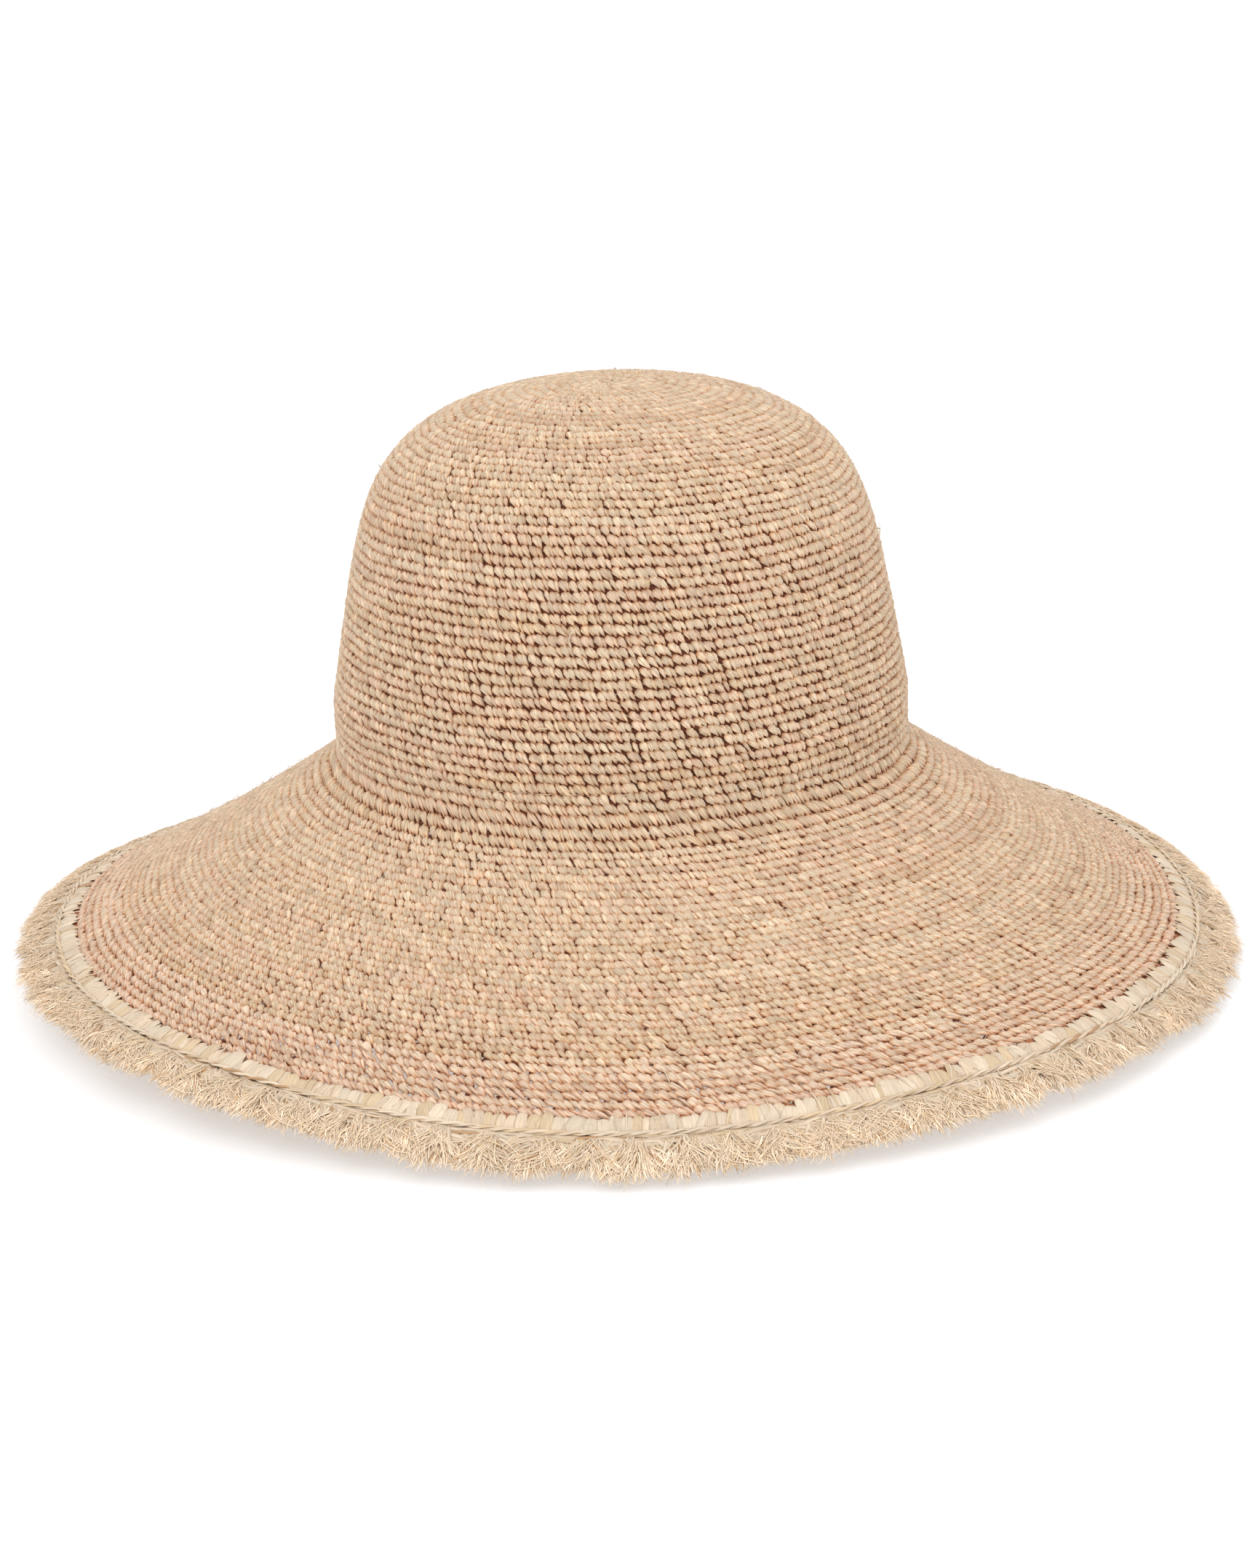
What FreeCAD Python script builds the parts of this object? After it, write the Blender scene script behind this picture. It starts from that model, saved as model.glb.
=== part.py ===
import FreeCAD, Part
import math
import os

# A crocheted raffia sun hat standing on its frayed brim edge, in millimetres.
# +Z is up, and the origin is on the floor, straight under the middle of the crown.
# The hat is built the way it is worked: rounds of raffia from the button at the top
# of the crown, down the wall, out over the turn and along the brim, then an edging,
# a cord, a sewn-on braid and the braid's frayed ends. A ribbon sweatband is sewn
# round the inside of the head opening.

# Head opening and layers
HEAD_RADIUS = 90.3        # inside the sweatband, which fits a head of 57 cm
RIBBON = 0.5              # thickness of the sweatband
BAND_CLEARANCE = 0.05     # gap between the sweatband and the raffia
FABRIC = 2.2              # thickness of the crocheted raffia
WALL_RADIUS = HEAD_RADIUS + RIBBON + BAND_CLEARANCE + FABRIC

# Crown, with heights measured up from the line where the brim begins
CROWN_HEIGHT = 119.0
LEAN_START = 19.0         # the wall is upright below this height
LEAN = 0.175              # and leans in by this much per millimetre above it
HEIGHT_POWER = 7.4        # how late the dome starts to close
ROUND_POWER = 2.3         # how full the dome's shoulder is
BUTTON_RADIUS = 4.5
TIP_HEIGHT = 111.0        # the flat rounds of the tip end here
SHOULDER_HEIGHT = 86.0    # the curved rounds of the shoulder end here
WALL_SPLIT_HEIGHT = 45.0  # the upper and lower wall meet here
TURN_HEIGHT = 4.0         # the wall meets the turn here

# Brim, as widths measured out from the crown wall
TURN_RUN = 7.0
INNER_RUN = 22.2
MIDDLE_RUN = 43.2
OPENWORK_RUN = 16.0
EDGING_RUN = 5.1
BRAID_RUN = 8.7
FRINGE_RUN = 7.8
BRIM_RUN = TURN_RUN + INNER_RUN + MIDDLE_RUN + OPENWORK_RUN + EDGING_RUN + BRAID_RUN + FRINGE_RUN
BRIM_DROP = 62.5          # mean fall from the crown to the edge
BRIM_HOLLOW = 0.265       # how much steeper the brim is at the crown than at the edge
FRINGE_DROOP = 1.6        # extra fall of the loose fringe
# Gentle waves of the edge: (waves round the brim, depth, direction of one low point in degrees)
EDGE_WAVES = ((1, 2.3, -21.0), (2, 2.6, 127.0), (3, 2.8, 15.0), (5, 1.5, 54.0))

EDGING_THICKNESS = 2.6
CORD_RADIUS = 0.95
BRAID_THICKNESS = 3.2
FRINGE_TIP = 1.0          # thickness of the fringe at its ends
FRINGE_BELLY = 1.7        # depth of the fringe's underside half way along

# Sweatband
BAND_TOP = 28.0
BAND_FLARE_TOP = 3.5      # below this height the ribbon opens out with the turn
BAND_BOTTOM = 1.5
BAND_FLARE = 0.5          # by this much on the inside
BAND_EDGE = 0.3           # thickness of the ribbon at its lower edge
BAND_STITCHES = 72
STITCH_HEIGHT = 2.2
STITCH_LENGTH = 5.0
STITCH_WIDTH = 0.5
STITCH_THICKNESS = 0.15
STITCH_GAP = 0.03

RING_POINTS = 48          # points that carry one corner of a section round the brim
OUTLINE_POINTS = 9        # points along one curved outline of the crown
BAND_STEP = 9.0           # widest straight step across a band of the brim
UP = FreeCAD.Vector(0, 0, 1)
CENTRE = FreeCAD.Vector(0, 0, 0)


def edge_wave(angle):
    """How far the brim's edge hangs below its mean height in one direction."""
    return sum(depth * math.cos(count * (angle - math.radians(low))) for count, depth, low in EDGE_WAVES)


def brim_surface(run, angle):
    """Height of the brim's upper surface above the crown line."""
    share = run / BRIM_RUN
    height = -BRIM_DROP * ((1 + BRIM_HOLLOW) * share - BRIM_HOLLOW * share ** 2)
    if run > TURN_RUN:
        height -= edge_wave(angle) * ((run - TURN_RUN) / (BRIM_RUN - TURN_RUN)) ** 2
    fringe = run - (BRIM_RUN - FRINGE_RUN)
    if fringe > 0:
        height -= FRINGE_DROOP * (fringe / FRINGE_RUN) ** 2
    return height


def brim_profile(run, lift, angle):
    """Radius and height of a point that is lifted off the brim's upper surface."""
    step = 0.05
    slope = (brim_surface(run + step, angle) - brim_surface(run - step, angle)) / (2 * step)
    length = math.hypot(1, slope)
    radius = WALL_RADIUS + run - lift * slope / length
    return radius, brim_surface(run, angle) + lift / length


def lowest_edge():
    """Depth of the lowest fringe end below the crown line."""
    angles = [math.radians(degree) for degree in range(360)]
    return min(brim_profile(BRIM_RUN, -FRINGE_TIP, angle)[1] for angle in angles)


CROWN_LINE = -lowest_edge()   # height of the crown line above the floor


def brim_point(run, lift, angle):
    radius, height = brim_profile(run, lift, angle)
    return FreeCAD.Vector(radius * math.cos(angle), radius * math.sin(angle), CROWN_LINE + height)


def wall_radius(height):
    return WALL_RADIUS - LEAN * max(0.0, height - LEAN_START)


def crown_radius(height):
    closing = 1 - (height / CROWN_HEIGHT) ** HEIGHT_POWER
    return wall_radius(height) * closing ** (1 / ROUND_POWER)


def crown_height(radius):
    """Height of the dome at a radius, found by repeated substitution."""
    height = CROWN_HEIGHT
    for _ in range(20):
        closing = 1 - (radius / wall_radius(height)) ** ROUND_POWER
        height = CROWN_HEIGHT * closing ** (1 / HEIGHT_POWER)
    return height


def offset_outline(outline):
    """The inside of a curved outline, one fabric thickness in from it."""
    inside = []
    for radius, height, normal in outline:
        inside.append((radius - FABRIC * normal[0], height - FABRIC * normal[1]))
    return inside


def with_normal(radius, height, ahead, behind):
    """A point of an outline with its outward normal, from points just up and down the outline."""
    run = ahead[0] - behind[0]
    rise = ahead[1] - behind[1]
    length = math.hypot(run, rise)
    return radius, height, (rise / length, -run / length)


def wall_outline_point(height):
    step = 0.01
    ahead = (crown_radius(height + step), height + step)
    behind = (crown_radius(height - step), height - step)
    return with_normal(crown_radius(height), height, ahead, behind)


def dome_outline_point(radius):
    step = 0.01
    if radius < step:
        return 0.0, CROWN_HEIGHT, (0.0, 1.0)
    ahead = (radius - step, crown_height(radius - step))
    behind = (radius + step, crown_height(radius + step))
    return with_normal(radius, crown_height(radius), ahead, behind)


def spread(first, last):
    """Evenly spaced values from first to last, one for each outline point."""
    return [first + (last - first) * i / (OUTLINE_POINTS - 1) for i in range(OUTLINE_POINTS)]


def profile_vector(point):
    return FreeCAD.Vector(point[0], 0, CROWN_LINE + point[1])


def smooth_edge(points):
    curve = Part.BSplineCurve()
    curve.interpolate([profile_vector(point) for point in points])
    return curve.toShape()


def straight_edges(points):
    vectors = [profile_vector(point) for point in points]
    return [Part.makeLine(start, end) for start, end in zip(vectors, vectors[1:])]


def revolved(edges):
    """A solid of revolution about the crown's axis from a closed outline."""
    face = Part.Face(Part.Wire(Part.__sortEdges__(edges)))
    return face.revolve(CENTRE, UP, 360)


def curved_fabric(outline):
    """Fabric of even thickness under a curved stretch of the crown."""
    outside = [(radius, height) for radius, height, _ in outline]
    inside = offset_outline(outline)
    edges = [smooth_edge(outside), smooth_edge(inside)]
    for outer, inner in ((outside[0], inside[0]), (outside[-1], inside[-1])):
        edges += straight_edges([outer, inner])
    return revolved(edges)


def lower_wall():
    """The straight rounds of the crown: upright at the opening, then leaning in."""
    top = wall_outline_point(WALL_SPLIT_HEIGHT)
    top_inside = offset_outline([top])[0]
    bend = LEAN_START - FABRIC * LEAN / 2
    outline = [
        (WALL_RADIUS, TURN_HEIGHT),
        (WALL_RADIUS, LEAN_START),
        top[:2],
        top_inside,
        (WALL_RADIUS - FABRIC, bend),
        (WALL_RADIUS - FABRIC, TURN_HEIGHT),
        (WALL_RADIUS, TURN_HEIGHT),
    ]
    return revolved(straight_edges(outline))


def turn():
    """The tight turn from the wall to the brim, as two quadratic curves and their ends."""
    edges = []
    ends = []
    for lift in (0.0, -FABRIC):
        wall_end = (WALL_RADIUS + lift, TURN_HEIGHT)
        brim_end = brim_profile(TURN_RUN, lift, 0.0)
        slope = (brim_end[1] - brim_profile(TURN_RUN - 0.1, lift, 0.0)[1]) / 0.1
        corner = (wall_end[0], brim_end[1] - slope * (brim_end[0] - wall_end[0]))
        curve = Part.BezierCurve()
        curve.setPoles([profile_vector(point) for point in (wall_end, corner, brim_end)])
        edges.append(curve.toShape())
        ends.append((wall_end, brim_end))
    edges += straight_edges([ends[0][0], ends[1][0]])
    edges += straight_edges([ends[0][1], ends[1][1]])
    return revolved(edges)


def ring_edge(corner):
    """One corner of a section carried all round the brim as a closed smooth edge."""
    run, lift = corner
    angles = [2 * math.pi * i / RING_POINTS for i in range(RING_POINTS)]
    curve = Part.BSplineCurve()
    curve.interpolate(Points=[brim_point(run, lift, angle) for angle in angles], PeriodicFlag=True)
    return curve.toShape()


def ring_solid(section):
    """A closed ring that follows the brim's waves, from the corners of its section."""
    edges = [ring_edge(corner) for corner in section]
    faces = [Part.makeRuledSurface(edges[i - 1], edges[i]) for i in range(len(edges))]
    shell = Part.makeCompound(faces)
    shell.sewShape()
    solid = Part.makeSolid(Part.Shell(shell.Faces))
    if solid.Volume < 0:
        solid.reverse()
    return solid


def band_section(start, width, thickness):
    """Section of a flat band of the brim, with its upper side on the brim's surface."""
    steps = max(1, math.ceil(width / BAND_STEP))
    runs = [start + width * i / steps for i in range(steps + 1)]
    return [(run, 0.0) for run in runs] + [(run, -thickness) for run in reversed(runs)]


def cord_section(run):
    """Eight-sided section of the cord that lies on the joint of edging and braid."""
    clear = 0.02
    across = CORD_RADIUS / math.cos(math.pi / 8)
    angles = [math.pi / 8 + math.pi / 4 * i for i in range(8)]
    centre = CORD_RADIUS + clear
    return [(run + across * math.cos(angle), centre + across * math.sin(angle)) for angle in angles]


def braid_section(start):
    """Section of the braid: flat faces with rounded shoulders."""
    shoulder = 1.2
    end = start + BRAID_RUN
    return [
        (start, 0.0),
        (end - shoulder, 0.0),
        (end, -FRINGE_TIP),
        (end, -FRINGE_TIP - FABRIC / 2),
        (end - shoulder, -BRAID_THICKNESS),
        (start + shoulder, -BRAID_THICKNESS),
        (start, -EDGING_THICKNESS),
    ]


def fringe_section(start):
    """Section of the fringe, which thins out towards its loose ends."""
    middle = start + FRINGE_RUN / 2
    return [
        (start, -FRINGE_TIP),
        (middle, -FRINGE_TIP / 2),
        (start + FRINGE_RUN, 0.0),
        (start + FRINGE_RUN, -FRINGE_TIP),
        (middle, -FRINGE_BELLY),
        (start, -FRINGE_TIP - FABRIC / 2),
    ]


def sweatband():
    """The ribbon inside the head opening: flared at the turn, upright, then leaning in."""
    outside = HEAD_RADIUS + RIBBON
    bend = LEAN_START - FABRIC * LEAN / 2
    lean_in = LEAN * (BAND_TOP - bend)
    outline = [
        (HEAD_RADIUS + BAND_FLARE, BAND_BOTTOM),
        (HEAD_RADIUS, BAND_FLARE_TOP),
        (HEAD_RADIUS, bend),
        (HEAD_RADIUS - lean_in, BAND_TOP),
        (outside - lean_in, BAND_TOP),
        (outside, bend),
        (outside, BAND_FLARE_TOP - RIBBON),
        (HEAD_RADIUS + BAND_FLARE + BAND_EDGE, BAND_BOTTOM),
        (HEAD_RADIUS + BAND_FLARE, BAND_BOTTOM),
    ]
    return revolved(straight_edges(outline))


def band_stitches():
    """Running stitches of thread along the flared lower edge of the ribbon."""
    flare_slope = BAND_FLARE / (BAND_FLARE_TOP - BAND_BOTTOM)
    ribbon_radius = HEAD_RADIUS + flare_slope * (BAND_FLARE_TOP - STITCH_HEIGHT)
    bulge = ribbon_radius - math.sqrt(ribbon_radius ** 2 - (STITCH_LENGTH / 2) ** 2)
    stitch = Part.makeBox(STITCH_THICKNESS, STITCH_LENGTH, STITCH_WIDTH)
    stitch.translate(FreeCAD.Vector(-STITCH_THICKNESS, -STITCH_LENGTH / 2, -STITCH_WIDTH / 2))
    stitch.rotate(CENTRE, FreeCAD.Vector(0, 1, 0), -math.degrees(math.atan(flare_slope)))
    stitch.translate(FreeCAD.Vector(ribbon_radius - bulge - STITCH_GAP, 0, CROWN_LINE + STITCH_HEIGHT))
    stitches = []
    for i in range(BAND_STITCHES):
        copy = stitch.copy()
        copy.rotate(CENTRE, UP, 360 * i / BAND_STITCHES)
        stitches.append(copy)
    return Part.makeCompound(stitches)


def build_hat():
    """Every piece of the hat by name, from the top of the crown to the sweatband."""
    inner_start = TURN_RUN
    middle_start = inner_start + INNER_RUN
    openwork_start = middle_start + MIDDLE_RUN
    edging_start = openwork_start + OPENWORK_RUN
    braid_start = edging_start + EDGING_RUN
    fringe_start = braid_start + BRAID_RUN
    tip_radius = crown_radius(TIP_HEIGHT)
    tip = [dome_outline_point(radius) for radius in spread(tip_radius, BUTTON_RADIUS)]
    return {
        "crown_button": curved_fabric([dome_outline_point(r) for r in spread(BUTTON_RADIUS, 0.0)]),
        "crown_tip": curved_fabric(tip),
        "crown_shoulder": curved_fabric(
            [wall_outline_point(z) for z in spread(SHOULDER_HEIGHT, TIP_HEIGHT)]),
        "crown_upper_wall": curved_fabric(
            [wall_outline_point(z) for z in spread(WALL_SPLIT_HEIGHT, SHOULDER_HEIGHT)]),
        "crown_lower_wall": lower_wall(),
        "brim_turn": turn(),
        "brim_inner": ring_solid(band_section(inner_start, INNER_RUN, FABRIC)),
        "brim_middle": ring_solid(band_section(middle_start, MIDDLE_RUN, FABRIC)),
        "brim_openwork": ring_solid(band_section(openwork_start, OPENWORK_RUN, FABRIC)),
        "brim_edging": ring_solid(band_section(edging_start, EDGING_RUN, EDGING_THICKNESS)),
        "edge_cord": ring_solid(cord_section(braid_start)),
        "fringe_braid": ring_solid(braid_section(braid_start)),
        "edge_fringe": ring_solid(fringe_section(fringe_start)),
        "sweatband": sweatband(),
        "band_stitches": band_stitches(),
    }


os.makedirs("parts", exist_ok=True)
for name, solid in build_hat().items():
    solid.exportStep("parts/" + name + ".step")
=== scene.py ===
import math

import bpy
import numpy as np
from mathutils import Euler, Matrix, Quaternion, Vector


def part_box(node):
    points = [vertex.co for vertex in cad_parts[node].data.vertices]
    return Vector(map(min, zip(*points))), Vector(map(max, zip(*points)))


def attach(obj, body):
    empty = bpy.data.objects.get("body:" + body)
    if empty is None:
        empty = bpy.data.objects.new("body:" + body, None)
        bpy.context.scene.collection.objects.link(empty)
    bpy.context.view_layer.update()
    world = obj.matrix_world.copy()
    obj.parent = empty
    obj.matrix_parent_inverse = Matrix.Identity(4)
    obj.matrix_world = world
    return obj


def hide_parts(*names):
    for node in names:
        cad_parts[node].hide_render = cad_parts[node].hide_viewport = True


# A crocheted raffia sun hat. Every stitch is a small plump loop of raffia, laid out in
# rounds over the hat's surface, and the edge is whip-stitched, corded, braided and frayed.
# Lengths are millimetres until a mesh is made, and angles run from +X towards +Y.

MM = 0.001
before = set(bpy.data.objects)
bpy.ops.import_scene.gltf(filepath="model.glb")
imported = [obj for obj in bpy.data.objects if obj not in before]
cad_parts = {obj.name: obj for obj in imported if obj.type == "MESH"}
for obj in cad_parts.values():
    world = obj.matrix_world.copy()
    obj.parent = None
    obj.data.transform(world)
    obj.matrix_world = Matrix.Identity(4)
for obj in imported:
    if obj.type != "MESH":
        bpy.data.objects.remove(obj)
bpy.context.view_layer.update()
rng = np.random.default_rng(7)

# The hat's outline, with the CAD model's shape values apart from FRINGE_DROOP, which is less here
TURN_HEIGHT = 4.0
TIP_HEIGHT = 111.0
LEAN_START = 19.0
LEAN = 0.175
HEIGHT_POWER = 7.4
ROUND_POWER = 2.3
BRIM_DROP = 62.5
BRIM_HOLLOW = 0.265
FRINGE_DROOP = 0.9        # the fringe's tips hang this much lower than the brim's own slope
FABRIC = 2.2
EDGE_WAVES = ((1, 2.3, -21.0), (2, 2.6, 127.0), (3, 2.8, 15.0), (5, 1.5, 54.0))
OVERHANG = 30.0           # how far the table of the outline runs on past the brim's edge
FLOOR_GAP = 0.25          # the lowest that any fibre hangs above the floor

CROWN_NODES = ("crown_button", "crown_tip", "crown_shoulder", "crown_upper_wall", "crown_lower_wall")
BRIM_NODES = ("brim_turn", "brim_inner", "brim_middle", "brim_openwork")


def outer_radius(node):
    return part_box(node)[1].x / MM


WALL_RADIUS = outer_radius("crown_lower_wall")
CROWN_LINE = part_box("brim_turn")[1].z / MM - TURN_HEIGHT
CROWN_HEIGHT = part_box("crown_button")[1].z / MM - CROWN_LINE
TURN_RUN = outer_radius("brim_turn") - WALL_RADIUS
BRIM_RUN = outer_radius("edge_fringe") - WALL_RADIUS
FRINGE_RUN = BRIM_RUN - (outer_radius("fringe_braid") - WALL_RADIUS)


# ---------------------------------------------------------------- the hat's surface

def edge_wave(angle):
    """How far the brim's edge hangs below its mean height in one direction."""
    return sum(depth * np.cos(count * (angle - math.radians(low))) for count, depth, low in EDGE_WAVES)


def brim_fall(run):
    """Mean height of the brim above the crown line."""
    share = run / BRIM_RUN
    fringe = np.maximum(0.0, run - (BRIM_RUN - FRINGE_RUN)) / FRINGE_RUN
    slope = -BRIM_DROP * ((1 + BRIM_HOLLOW) * share - BRIM_HOLLOW * share ** 2)
    return slope - FRINGE_DROOP * fringe ** 2


def wall_radius(height):
    return WALL_RADIUS - LEAN * np.maximum(0.0, height - LEAN_START)


def crown_radius(height):
    return wall_radius(height) * (1 - (height / CROWN_HEIGHT) ** HEIGHT_POWER) ** (1 / ROUND_POWER)


def dome_height(radius):
    height = np.full_like(radius, CROWN_HEIGHT)
    for _ in range(20):
        height = CROWN_HEIGHT * (1 - (radius / wall_radius(height)) ** ROUND_POWER) ** (1 / HEIGHT_POWER)
    return height


def turn_curve():
    """The tight turn from the wall to the brim, a quadratic curve."""
    end = np.array([WALL_RADIUS + TURN_RUN, brim_fall(TURN_RUN)])
    slope = (brim_fall(TURN_RUN) - brim_fall(TURN_RUN - 0.1)) / 0.1
    start = np.array([WALL_RADIUS, TURN_HEIGHT])
    corner = np.array([WALL_RADIUS, end[1] - slope * TURN_RUN])
    t = np.linspace(0, 1, 60)[:, None]
    return (1 - t) ** 2 * start + 2 * t * (1 - t) * corner + t ** 2 * end


def outline_table():
    """Length, radius, height and outward normal down the outline, from the top to past the edge."""
    tip_radius = crown_radius(np.array(TIP_HEIGHT))
    radii = np.linspace(0, tip_radius, 400)
    heights = np.linspace(TIP_HEIGHT, TURN_HEIGHT, 1200)
    runs = np.linspace(TURN_RUN, BRIM_RUN + OVERHANG, 1200)
    points = np.concatenate([
        np.stack([radii, dome_height(radii)], 1),
        np.stack([crown_radius(heights), heights], 1)[1:],
        turn_curve()[1:],
        np.stack([WALL_RADIUS + runs, brim_fall(np.minimum(runs, BRIM_RUN))], 1)[1:],
    ])
    past = points[:, 0] - WALL_RADIUS - BRIM_RUN
    edge_slope = brim_fall(BRIM_RUN - FRINGE_RUN) - brim_fall(BRIM_RUN - FRINGE_RUN - 1)
    points[:, 1] += np.maximum(0, past) * edge_slope
    steps = np.hypot(*np.diff(points, axis=0).T)
    length = np.concatenate([[0], np.cumsum(steps)])
    along = np.gradient(points, length, axis=0)
    along /= np.linalg.norm(along, axis=1)[:, None]
    return length, points[:, 0], points[:, 1], -along[:, 1], along[:, 0]


LENGTH, RADIUS, HEIGHT, OUT_NORMAL, UP_NORMAL = outline_table()


def length_at_radius(radius):
    return float(np.interp(radius, RADIUS, LENGTH))


def place(length, angle, lift):
    """Points of the hat's surface by length down the outline, direction and lift, in millimetres."""
    radius = np.interp(length, LENGTH, RADIUS)
    height = np.interp(length, LENGTH, HEIGHT)
    share = np.clip((radius - WALL_RADIUS - TURN_RUN) / (BRIM_RUN - TURN_RUN), 0, 1.1)
    height = height - edge_wave(angle) * share ** 2
    radius = radius + lift * np.interp(length, LENGTH, OUT_NORMAL)
    height = height + lift * np.interp(length, LENGTH, UP_NORMAL)
    return np.stack([radius * np.cos(angle), radius * np.sin(angle), CROWN_LINE + height], -1)


def on_hat(length, angle, deepest=-9.0):
    """Turns local millimetres (across, down the outline, lift) at each strand's place into points."""
    radius = np.interp(length, LENGTH, RADIUS)

    def to_world(local):
        turn = angle[:, None] + local[..., 0] / radius[:, None]
        points = place(length[:, None] + local[..., 1], turn, np.maximum(local[..., 2], deepest))
        points[..., 2] = np.maximum(points[..., 2], FLOOR_GAP)
        return points
    return to_world


# ---------------------------------------------------------------- strands and meshes

def linear(red, green, blue):
    """A colour given as it looks on a screen, from 0 to 255, as linear light."""
    c = np.array([red, green, blue]) / 255
    return np.where(c <= 0.04045, c / 12.92, ((c + 0.055) / 1.055) ** 2.4)


def strand_points(path, half_width, half_thick, sides, groove):
    """Rings of points round each path: (strand, ring, side, 3), and how far across each one is."""
    along = np.gradient(path, axis=1)
    along /= np.linalg.norm(along, axis=2, keepdims=True) + 1e-9
    across = np.stack([along[..., 1], -along[..., 0], np.zeros(along.shape[:2])], -1)
    across /= np.linalg.norm(across, axis=2, keepdims=True) + 1e-9
    lift = np.cross(along, across)
    turn = 2 * np.pi * (np.arange(sides) + 0.5) / sides
    wide = half_width[:, 1:-1, None, None] * np.cos(turn)[:, None]
    fluted = np.sin(turn) * (1 - groove * (np.arange(sides) % 2))
    tall = half_thick[:, 1:-1, None, None] * fluted[:, None]
    rings = path[:, 1:-1, None] + across[:, 1:-1, None] * wide + lift[:, 1:-1, None] * tall
    return rings, wide[..., 0]


def strand_faces(strands, rings, sides, first=0):
    """Quads between the rings and triangles to the two tips of each strand."""
    size = rings * sides + 2
    base = first + size * np.arange(strands)[:, None, None]
    ring = np.arange(rings - 1)[:, None] * sides + 1
    side = np.arange(sides)
    after = (side + 1) % sides
    corners = [ring + side, ring + sides + side, ring + sides + after, ring + after]
    quads = np.stack([base + c for c in corners], -1).reshape(-1, 4)
    last = (rings - 1) * sides + 1
    base = base[:, 0]
    start = np.stack([base + 0 * side, base + 1 + side, base + 1 + after], -1)
    end = np.stack([base + size - 1 + 0 * side, base + last + after, base + last + side], -1)
    return quads, np.concatenate([start.reshape(-1, 3), end.reshape(-1, 3)])


class Bundle:
    """Strands gathered for one mesh."""

    def __init__(self):
        self.points = []
        self.tints = []
        self.fibres = []
        self.cells = []
        self.quads = []
        self.triangles = []
        self.count = 0

    def add(self, path, half_width, half_thick, sides, to_world, tint, cell, shade=None, groove=0.0):
        """Adds closed strands. path is (strand, point, 3) in millimetres: across, down and lift."""
        strands, points_each, _ = path.shape
        rings = points_each - 2
        body, wide = strand_points(path, half_width, half_thick, sides, groove)
        local = np.concatenate(
            [path[:, :1], body.reshape(strands, -1, 3), path[:, -1:]], 1)
        nothing = np.zeros((strands, 1))
        across = np.concatenate([nothing, wide.reshape(strands, -1), nothing], 1)
        steps = np.linalg.norm(np.diff(path, axis=1), axis=2)
        distance = np.concatenate([nothing, np.cumsum(steps, 1)], 1)
        inner = np.repeat(distance[:, 1:-1], sides, 1)
        along = np.concatenate([distance[:, :1], inner, distance[:, -1:]], 1)
        offset = rng.uniform(0, 500, (strands, 1))
        self.fibres.append(np.stack([across + offset, along + offset], -1).reshape(-1, 2))
        left, right, low, high = cell
        reach = half_width.max(1)[:, None] + 1e-9
        u = left + (right - left) * (0.5 + 0.45 * across / reach)
        v = low + (high - low) * (0.05 + 0.9 * along / distance[:, -1:])
        self.cells.append(np.stack([u, v], -1).reshape(-1, 2))
        colour = np.repeat(tint[:, None], local.shape[1], 1)
        if shade is not None:
            colour = colour * shade(local, along / distance[:, -1:])
        self.tints.append(colour.reshape(-1, 3))
        self.points.append(to_world(local).reshape(-1, 3))
        quads, triangles = strand_faces(strands, rings, sides, self.count)
        self.quads.append(quads)
        self.triangles.append(triangles)
        self.count += strands * local.shape[1]

    def piece(self, name, material, nodes, slot):
        points = np.concatenate(self.points)
        quads = np.concatenate(self.quads)
        triangles = np.concatenate(self.triangles)
        obj = make_mesh(name, points, quads, triangles, material)
        add_uv(obj.data, "OFBake", np.concatenate(self.cells))
        add_uv(obj.data, "Fibre", np.concatenate(self.fibres))
        add_tint(obj.data, np.concatenate(self.tints))
        return settle(obj, nodes)


def grid_cells(count, low=0.0, high=1.0):
    """A cell for each strand, in a grid across the whole map between two of its heights."""
    side = math.ceil(math.sqrt(count))
    column = (np.arange(count) % side)[:, None]
    row = (np.arange(count) // side)[:, None]
    tall = (high - low) / side
    return column / side, (column + 1) / side, low + row * tall, low + (row + 1) * tall


def make_mesh(name, points, quads, triangles, material):
    """A smooth mesh from points in millimetres."""
    mesh = bpy.data.meshes.new(name)
    corners = np.concatenate([quads.ravel(), triangles.ravel()]).astype(np.int32)
    starts = np.concatenate([
        4 * np.arange(len(quads)), 4 * len(quads) + 3 * np.arange(len(triangles))]).astype(np.int32)
    mesh.vertices.add(len(points))
    mesh.vertices.foreach_set("co", (points * MM).astype(np.float32).ravel())
    mesh.loops.add(len(corners))
    mesh.loops.foreach_set("vertex_index", corners)
    mesh.polygons.add(len(starts))
    mesh.polygons.foreach_set("loop_start", starts)
    mesh.polygons.foreach_set("use_smooth", np.ones(len(starts), bool))
    mesh.update(calc_edges=True)
    mesh.materials.append(material)
    obj = bpy.data.objects.new(name, mesh)
    bpy.context.scene.collection.objects.link(obj)
    return obj


def corner_points(mesh):
    index = np.empty(len(mesh.loops), np.int32)
    mesh.loops.foreach_get("vertex_index", index)
    return index


def add_uv(mesh, name, uv):
    layer = mesh.uv_layers.new(name=name)
    layer.uv.foreach_set("vector", uv[corner_points(mesh)].astype(np.float32).ravel())


def add_tint(mesh, tint):
    layer = mesh.color_attributes.new("Tint", "FLOAT_COLOR", "POINT")
    colour = np.concatenate([tint, np.ones((len(tint), 1))], 1)
    layer.data.foreach_set("color", colour.astype(np.float32).ravel())


def settle(obj, nodes):
    """Puts a finished piece on the hat's one body in place of its CAD nodes."""
    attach(obj, "root")
    if nodes:
        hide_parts(*nodes)
    return obj


# ---------------------------------------------------------------- materials

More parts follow.
